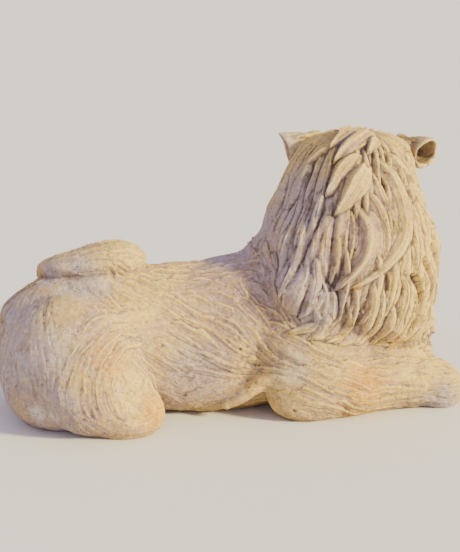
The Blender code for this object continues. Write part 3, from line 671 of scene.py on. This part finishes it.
def layLocks(skin, space):
    rows = lionSettings["lockRows"]
    for row, (top, fall, spacing, width, tall) in enumerate(rows):
        count = round(360 / spacing)
        for k in range(count):
            turn = ((k + 0.5 * (row % 2)) * 360 / count + 180) % 360 - 180
            beforeBack = abs(turn + 90)
            beforeChest = abs(turn - 90)
            underBigLocks = -34 < turn < 60 and top > 42
            beforeFace = abs(abs(turn) - 156) < 42 and top > lionSettings["faceLow"]
            onBack = beforeBack < 46 and top < 44
            overFolds = -150 < turn < -20 and top > 40
            if underBigLocks or beforeFace or onBack or overFolds:
                continue
            lowest = np.interp(turn, *zip(*lionSettings["maneEdge"]))
            if top < lowest + 5:
                continue
            wave = math.sin(2.4 * k + row * 1.7)
            fallen = fall * (1 + 0.24 * wave)
            swing = -math.cos(math.radians(turn)) * lionSettings["lockSweep"] * (1 + 0.25 * math.sin(5.1 * k))
            places = []
            for t in (0.0, 0.3, 0.6, 0.85, 1.0):
                aside = swing * (1.7 * t**2.6 - 0.7 * t) + 2.2 * wave * math.sin(5 * t)
                height = top + 1.3 * wave - fallen * t
                height = max(height, lowest + 3.5 * (1 - t))
                places.append((turn + 1.6 * wave + aside, height))
            path = fallingPath(skin, places, 4)
            crest = 0.35 if math.cos(math.radians(turn)) > -0.2 else -0.3
            broad = width * (1 + 0.3 * math.sin(3.3 * k))
            stands = tall * lionSettings["lockHeight"] * (1 + 0.25 * math.sin(4.7 * k + row))
            raiseLock(skin, path, broad, stands, crest, 0.35 + 0.04 * row, scoop=None)
    for ring, (inner, outer, front, back, count) in enumerate(lionSettings["ruff"]):
        for k in range(count):
            a = 2 * math.pi * (k + 0.5 * ring) / count
            lean = 0.45 * math.sin(a)
            places = []
            for t in (0.0, 0.35, 0.7, 1.0):
                radius = inner + (outer - inner) * t
                b = a + lean * t
                forwards = front + (back - front) * t
                places.append(space @ Vector((forwards, radius * math.sin(b), radius * math.cos(b))))
            raiseLock(skin, laidPath(skin, places), 1.5, 0.8, 0.4, 0.2)
    for width, height, layer, flutes, crest, *places in lionSettings["bigLocks"]:
        raiseLock(skin, fallingPath(skin, places), width, height, crest, layer + 0.45, flutes)
    for width, depth, *places in lionSettings["deepFolds"]:
        cutGroove(skin, fallingPath(skin, places), width, depth)


def faceLines(skin, space):
    lines = [(0.7, (19.6, 0, -2.2), (18.6, 0, -4.4))]
    for side in (-1, 1):
        lines += [
            (0.8, (18.6, 0.3 * side, -5), (16.6, 3.6 * side, -6.6), (12.6, 5.8 * side, -6), (9.6, 6.2 * side, -5)),
            (0.6, (20.2, 1.2 * side, -0.8), (19, 2.6 * side, -0.2)),
            (0.6, (13, 2.4 * side, 1.6), (11.6, 4.2 * side, 1.4), (9.6, 7.2 * side, 3.4)),
            (0.6, (13, 2.4 * side, 1.8), (12, 4.2 * side, 4), (9.6, 7.2 * side, 3.4)),
        ]
    for width, *places in lines:
        cutGroove(skin, laidPath(skin, [space @ Vector(place) for place in places]), width, 0.45)


def toeLines(skin):
    paws = [((45.5, -11, 3.6), 5.3, 0), ((39.5, 17.4, 3.4), 5.0, 8), ((-8.5, 19, 2.6), 4.4, 0)]
    for centre, reach, heading in paws:
        way = Vector((math.cos(math.radians(heading)), math.sin(math.radians(heading)), 0))
        side = Vector((-way.y, way.x, 0))
        for offset in (-0.42, 0, 0.42):
            places = []
            for rise in (100, 62, 28, -12):
                a = math.radians(rise)
                out = way * math.cos(a) * reach + Vector((0, 0, math.sin(a) * reach)) + side * offset * reach
                places.append(Vector(centre) + out)
            cutGroove(skin, laidPath(skin, places), 0.8, 0.5)


def buildLion():
    space = headSpace()
    body = fused(bodyMasses() + maneMasses() + headMasses(space), lionSettings["coarseGrain"], 10, "body")
    cutFlat(body)
    ears = [make(side, space) for side in (1, -1) for make in (ear, earRoot)]
    details = faceDetails(space) + ears + [tail()]
    lion = fused([body] + details, lionSettings["fineGrain"], 6, "lionClay")
    print("lion: form of", len(lion.data.vertices), "points")
    skin = Skin(lion.data)
    foldMane(skin)
    layLocks(skin, space)
    # fills the pinholes between locks
    skin.heights = np.maximum(skin.heights, softened(lion.data, skin.heights, 30) - 0.5)
    skin.heights *= skin.edge
    print("lion: locks laid")
    dragFingers(skin)
    print("lion: finger strokes drawn")
    faceLines(skin, space)
    toeLines(skin)
    pressPits(skin)
    addUnevenness(skin)
    for side in (-1, 1):  # the ears stay nearly bare
        spread = lionSettings["earSpread"] + 1
        root = np.array(space @ Vector((1.2, side * spread, lionSettings["earLift"])))
        skin.heights *= np.clip((np.linalg.norm(skin.points - root, axis=1) - 3.6) / 1.6, 0.12, 1)
    skin.heights *= np.clip((skin.points[:, 2] + 0.2) / 1.5, 0, 1)
    moved = skin.points + skin.normals * skin.heights[:, None]
    lion.data.vertices.foreach_set("co", moved.astype(np.float32).ravel())
    lion.data.update()
    for name, values in (("comb", skin.comb), ("hollow", 0.5 + 2 * hollowness(lion.data, 10))):
        layer = lion.data.attributes.new(name, "FLOAT", "POINT")
        layer.data.foreach_set("value", values.astype(np.float32))
    return lion


def keepInside(mesh, low, high):  # draws in the outermost 3 cm where it stands past the figure's box
    flat = np.empty(len(mesh.vertices) * 3, np.float32)
    mesh.vertices.foreach_get("co", flat)
    p = flat.reshape(-1, 3)
    for axis in range(3):
        for side, limit in ((1, high[axis] - 0.0004), (-1, -low[axis])):
            reach = side * p[:, axis]
            furthest, start = reach.max(), limit - 0.03
            if furthest > limit:
                outer = reach > start
                p[outer, axis] = side * (start + (reach[outer] - start) * (limit - start) / (furthest - start))
    p[:, 2] = np.maximum(p[:, 2], 0)
    mesh.vertices.foreach_set("co", p.ravel())


lion = buildLion()
deselectAll()
lion.select_set(True)
bpy.context.view_layer.objects.active = lion
thin = lion.modifiers.new("thin", "DECIMATE")
thin.ratio = lionSettings["triangles"] / (2 * len(lion.data.polygons))
bpy.ops.object.modifier_apply(modifier="thin")
lion.data.transform(Matrix.Scale(unit, 4))
keepInside(lion.data, lowCorner, highCorner)
lion.data.shade_smooth()
print("lion:", len(lion.data.polygons), "faces")


claySettings = {
    "roughness": 0.88,
    "gloss": 0.25,
    "bumpStrength": 0.9,
    "bumpDepth": 0.005,  # metres
    "ribScale": 1.9,  # of the fine lines in a stroke
    "poreScale": 95.0,
    "buff": (0.53, 0.36, 0.115),
    # cream, partly the clay's own yellow and partly the colour of painted light
    "pink": (0.36, 0.23, 0.18),
    # mauve, partly the clay's own tone and partly the colour of painted shade
    "cream": (0.75, 0.54, 0.145),
    "mauve": (0.43, 0.365, 0.39),
    "rust": (0.58, 0.28, 0.035),
    "chalk": (0.62, 0.57, 0.52),
    "hollowShade": (0.27, 0.20, 0.19),  # painted shade in the hollows
    # umber; in the fine lines of the strokes it is painted shade
    "umber": (0.20, 0.12, 0.07),
    # painted shade in the deepest hollows, in the pits and inside the right ear
    "deepShade": (0.14, 0.105, 0.085),
    # where a colour is strong: place and reach, in the figure's own units
    # mauve where shade falls on the haunch's left, the mane's left half and the hollows by the knee and elbow:
    # painted shade, partly the clay's own mauve
    "mauveShadeAt": (
        ((-45, -8, 22), 14), ((-30, -6, 31), 9), ((-40, -18, 6), 12), ((9, -14, 34), 13),
        ((16, -18, 26), 9), ((14, -12, 46), 11), ((-8, -12, 10), 9), ((2, 0, 33), 10),
        ((-47, -4, 9), 13), ((10.6, -17, 12.5), 6), ((-37, -2, 31), 6), ((-38, -15, 18), 9),
        ((44, -14, 2), 7), ((-10, -15, 14), 7), ((-38, -14, 3), 11), ((-44, -12, 14), 11),
        ((16, -6, 44), 13), ((12, -2, 38), 10), ((-30, 16, 12), 14), ((10, 16, 30), 14),
    ),
    # cream where the light falls on the flank, knee, tuft, foreleg and mane: painted light, partly the clay's own
    # yellow
    "creamLightAt": (
        ((-16, -16, 24), 15), ((-22, -20, 8), 10), ((34, -14, 30), 16), ((40, -12, 8), 9),
        ((-24, -3, 35), 8), ((30, -14, 52), 9), ((6, -17, 14), 10), ((30, 20, 16), 14),
        ((-12, 16, 20), 14),
    ),
    # darker pink-brown behind the knee, under the belly, low on the haunch and by the elbow: painted shade
    "brownShadeAt": (
        ((-8, -13, 8), 9), ((-40, -17, 5), 9), ((-44, -12, 6), 8), ((1, -12, 4), 6), ((26, -13, 14), 5),
    ),
    "rustAt": (
        ((-17.4, -20, 6), 6), ((27, -18, 7), 8), ((26, -18, 6), 5), ((35, -14, 14), 3.5), ((24, -15, 1), 4),
        ((-25.9, -20, 18.2), 6), ((23.5, -17.5, 29.1), 3.5), ((14, 19, 7), 6), ((46, -12, 3), 4),
    ),
    "chalkAt": (
        ((-41.4, -15, 5.5), 2.8), ((-37.9, -17, 5.3), 2), ((-35, -7, 29), 2.6), ((15, 9, 54), 6),
        ((44.5, -5, 53.6), 5), ((-30, 14, 4), 6),
    ),
    # painted shade inside the right ear's cup and round its root
    "earCupShadeAt": (((42.2, -1.8, 53.9), 4.6),),
}

clay = bpy.data.materials.new("firedClay")
clay.use_nodes = True
nodes, links = clay.node_tree.nodes, clay.node_tree.links
shader = nodes["Principled BSDF"]
shader.inputs["Roughness"].default_value = claySettings["roughness"]
shader.inputs["Specular IOR Level"].default_value = claySettings["gloss"]


def node(kind, settings=None, **inputs):  # an input is named, or given by its number as _0, _1...
    made = nodes.new(kind)
    for name, value in (settings or {}).items():
        setattr(made, name, value)
    for name, value in inputs.items():
        key = int(name[1:]) if name[0] == "_" else name.replace("_", " ")
        if isinstance(value, bpy.types.NodeSocket):
            links.new(value, made.inputs[key])
        else:
            made.inputs[key].default_value = value
    return made


coordinates = node("ShaderNodeTexCoord").outputs["Object"]


def grain(scale, detail=4.0, rough=0.6, distortion=0.0):
    speckle = node("ShaderNodeTexNoise", Vector=coordinates, Scale=scale, Detail=detail, Roughness=rough)
    speckle.inputs["Distortion"].default_value = distortion
    return speckle.outputs["Fac"]


def ranged(value, low, high, outLow=0.0, outHigh=1.0):
    smooth = {"interpolation_type": "SMOOTHSTEP"}
    return node("ShaderNodeMapRange", smooth, _0=value, _1=low, _2=high, _3=outLow, _4=outHigh).outputs[0]


def maskMath(kind, a, b):
    return node("ShaderNodeMath", {"operation": kind}, _0=a, _1=b).outputs[0]


def mixed(share, a, b):
    made = node("ShaderNodeMix", {"data_type": "RGBA"}, _0=share)
    for socket, value in ((made.inputs[6], a), (made.inputs[7], b)):
        if isinstance(value, bpy.types.NodeSocket):
            links.new(value, socket)
        else:
            socket.default_value = (*value, 1.0)
    return made.outputs[2]


def spots(places):  # a soft mask round some places
    whole = None
    for place, reach in places:
        away = node("ShaderNodeVectorMath", {"operation": "DISTANCE"}, _0=coordinates)
        away.inputs[1].default_value = Vector(place) * unit
        one = ranged(away.outputs["Value"], reach * unit, 0.25 * reach * unit)
        whole = one if whole is None else maskMath("MAXIMUM", whole, one)
    return whole


def patched(colour, places, share, name):  # lays a colour over some places, uneven by the given share
    return mixed(maskMath("MULTIPLY", spots(claySettings[places]), share), colour, claySettings[name])


hollowed = node("ShaderNodeAttribute", {"attribute_name": "hollow"}).outputs["Fac"]
combed = node("ShaderNodeAttribute", {"attribute_name": "comb"}).outputs["Fac"]
broad, middling, fine, speck = grain(5, 3), grain(22, 5, 0.65), grain(130, 4, 0.7), grain(420, 2)
mottle, smear = grain(60, 5, 0.7), grain(26, 5, 0.7, 0.6)
ribs = node("ShaderNodeTexNoise", {"noise_dimensions": "1D"}, W=combed, Scale=claySettings["ribScale"])
ribs.inputs["Detail"].default_value = 2.5
ribs.inputs["Roughness"].default_value = 0.6
ribs = ribs.outputs["Fac"]

# the fired body, patch by patch, with painted shade in the mauve and brown patches and painted light in the cream
# ones
colour = mixed(ranged(broad, 0.42, 0.58), claySettings["pink"], claySettings["buff"])
# painted shade laid as mauve patches, partly the clay's own mauve
mauveShadeMask = spots(claySettings["mauveShadeAt"])
mauveShadeShare = maskMath("MULTIPLY", mauveShadeMask, ranged(middling, 0.3, 0.6, 0.55, 1.0))
colour = mixed(mauveShadeShare, colour, claySettings["mauve"])
# painted light laid as cream patches, partly the clay's own yellow
colour = patched(colour, "creamLightAt", ranged(middling, 0.3, 0.62, 0.1, 0.85), "cream")
# painted shade laid as darker pink-brown patches
colour = patched(colour, "brownShadeAt", ranged(middling, 0.35, 0.6, 0.3, 0.8), "pink")
colour = mixed(ranged(mottle, 0.5, 0.66, 0.0, 0.25), colour, claySettings["mauve"])
colour = mixed(ranged(mottle, 0.48, 0.34, 0.0, 0.35), colour, claySettings["cream"])
colour = mixed(ranged(smear, 0.52, 0.68, 0.0, 0.5), colour, claySettings["umber"])
# painted shade: the grooves of the fine lines in the strokes darkened
colour = mixed(ranged(ribs, 0.46, 0.34, 0.0, 0.3), colour, claySettings["umber"])
colour = mixed(ranged(ribs, 0.55, 0.68, 0.0, 0.15), colour, claySettings["chalk"])
rustShare = maskMath("MULTIPLY", spots(claySettings["rustAt"]), ranged(middling, 0.36, 0.55, 0.5, 1.0))
rustShare = maskMath("ADD", rustShare, ranged(grain(9, 4), 0.6, 0.75, 0.0, 0.35))
colour = mixed(rustShare, colour, claySettings["rust"])

# painted highlight and chalky wear on the ridges, painted shade in the hollows and pits
chalkShare = maskMath("MULTIPLY", spots(claySettings["chalkAt"]), ranged(fine, 0.35, 0.6, 0.25, 0.9))
chalkShare = maskMath("ADD", chalkShare, ranged(hollowed, 0.7, 1.1, 0.0, 0.25))
# painted shade: the broad hollows darkened towards grey mauve
colour = mixed(ranged(hollowed, 0.49, 0.33, 0.0, 0.65), colour, claySettings["hollowShade"])
# painted highlight: cream on the ridges, kept off the mauve patches
ridges = maskMath("MULTIPLY", ranged(hollowed, 0.52, 0.68, 0.0, 0.55), maskMath("SUBTRACT", 1.0, mauveShadeMask))
colour = mixed(ridges, colour, claySettings["cream"])
colour = mixed(chalkShare, colour, claySettings["chalk"])
# painted shade: the deepest hollows darkened almost to black
colour = mixed(ranged(hollowed, 0.42, 0.05, 0.0, 0.85), colour, claySettings["deepShade"])
holes = node("ShaderNodeTexVoronoi", Vector=coordinates, Scale=claySettings["poreScale"], Randomness=1.0)
pores = maskMath("MULTIPLY", ranged(holes.outputs["Distance"], 0.17, 0.08), ranged(grain(14, 3), 0.45, 0.6))
# painted shade inside the right ear's cup
colour = patched(colour, "earCupShadeAt", 0.9, "deepShade")
# painted shade in the pits
colour = mixed(maskMath("MULTIPLY", pores, 0.75), colour, claySettings["deepShade"])
colour = mixed(ranged(fine, 0.5, 0.68, 0.0, 0.28), colour, claySettings["chalk"])
colour = mixed(ranged(fine, 0.5, 0.34, 0.0, 0.35), colour, claySettings["umber"])
colour = mixed(ranged(speck, 0.52, 0.7, 0.0, 0.4), colour, claySettings["umber"])
links.new(colour, shader.inputs["Base Color"])
height = maskMath("ADD", maskMath("MULTIPLY", fine, 0.5), maskMath("MULTIPLY", speck, 0.16))
height = maskMath("ADD", height, maskMath("MULTIPLY", ribs, 0.7))
height = maskMath("SUBTRACT", height, maskMath("MULTIPLY", pores, 0.5))
bump = node("ShaderNodeBump", Height=height)
bump.inputs["Strength"].default_value = claySettings["bumpStrength"]
bump.inputs["Distance"].default_value = claySettings["bumpDepth"]
links.new(bump.outputs["Normal"], shader.inputs["Normal"])
lion.data.materials.clear()
lion.data.materials.append(clay)
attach(lion, "root")
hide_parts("lion")
print("clay: mixed and laid on")


stageSettings = {
    "floorSize": 60,
    "floorColour": (0.72, 0.71, 0.70, 1.0),
    "floorRoughness": 0.8,
    "skyColour": (0.86, 0.79, 1.0, 1.0),
    "skyStrength": 1.08,
    "sunColour": (1.0, 0.87, 0.42),
    "sunStrength": 9.6,
    "sunSpread": 8,  # degrees; more gives softer shadows
    "sunWay": (-0.74, 0.56, -0.38),
    "azimuth": -12,  # degrees; 0 looks along +Y
    "elevation": 15,
    "distance": 2.9,
    "aim": (0.015, 0.0, 0.262),
    "film": 36,  # millimetres
    "pictureHeight": 552,
    "pixel": 0.002,  # metres at the lion
}

deselectAll()
bpy.ops.mesh.primitive_plane_add(size=stageSettings["floorSize"])
floor = bpy.context.object
floor.name = "floor"
paint = bpy.data.materials.new("paleFloor")
paint.use_nodes = True
matt = paint.node_tree.nodes["Principled BSDF"]
matt.inputs["Base Color"].default_value = stageSettings["floorColour"]
matt.inputs["Roughness"].default_value = stageSettings["floorRoughness"]
floor.data.materials.append(paint)
print("floor: laid")

world = bpy.data.worlds.new("sky")
bpy.context.scene.world = world
world.use_nodes = True
sky = world.node_tree.nodes["Background"]
sky.inputs["Color"].default_value = stageSettings["skyColour"]
sky.inputs["Strength"].default_value = stageSettings["skyStrength"]
bpy.ops.object.light_add(type="SUN", location=(3, -2, 2))
sun = bpy.context.object
sun.name = "keyLight"
sun.data.energy = stageSettings["sunStrength"]
sun.data.angle = math.radians(stageSettings["sunSpread"])
sun.data.color = stageSettings["sunColour"]
sun.rotation_euler = Vector(stageSettings["sunWay"]).to_track_quat("-Z", "Y").to_euler()
print("light: set")

azimuth, elevation = math.radians(stageSettings["azimuth"]), math.radians(stageSettings["elevation"])
level = math.cos(elevation)
way = Vector((math.sin(azimuth) * level, -math.cos(azimuth) * level, math.sin(elevation)))
bpy.ops.object.camera_add(location=Vector(stageSettings["aim"]) + way * stageSettings["distance"])
camera = bpy.context.object
camera.name = "photoCamera"
camera.rotation_euler = (-way).to_track_quat("-Z", "Y").to_euler()
camera.data.sensor_fit = "AUTO"
camera.data.sensor_width = stageSettings["film"]
seenHeight = stageSettings["pictureHeight"] * stageSettings["pixel"]
camera.data.lens = stageSettings["film"] * stageSettings["distance"] / seenHeight
bpy.context.scene.camera = camera
print("camera: placed")
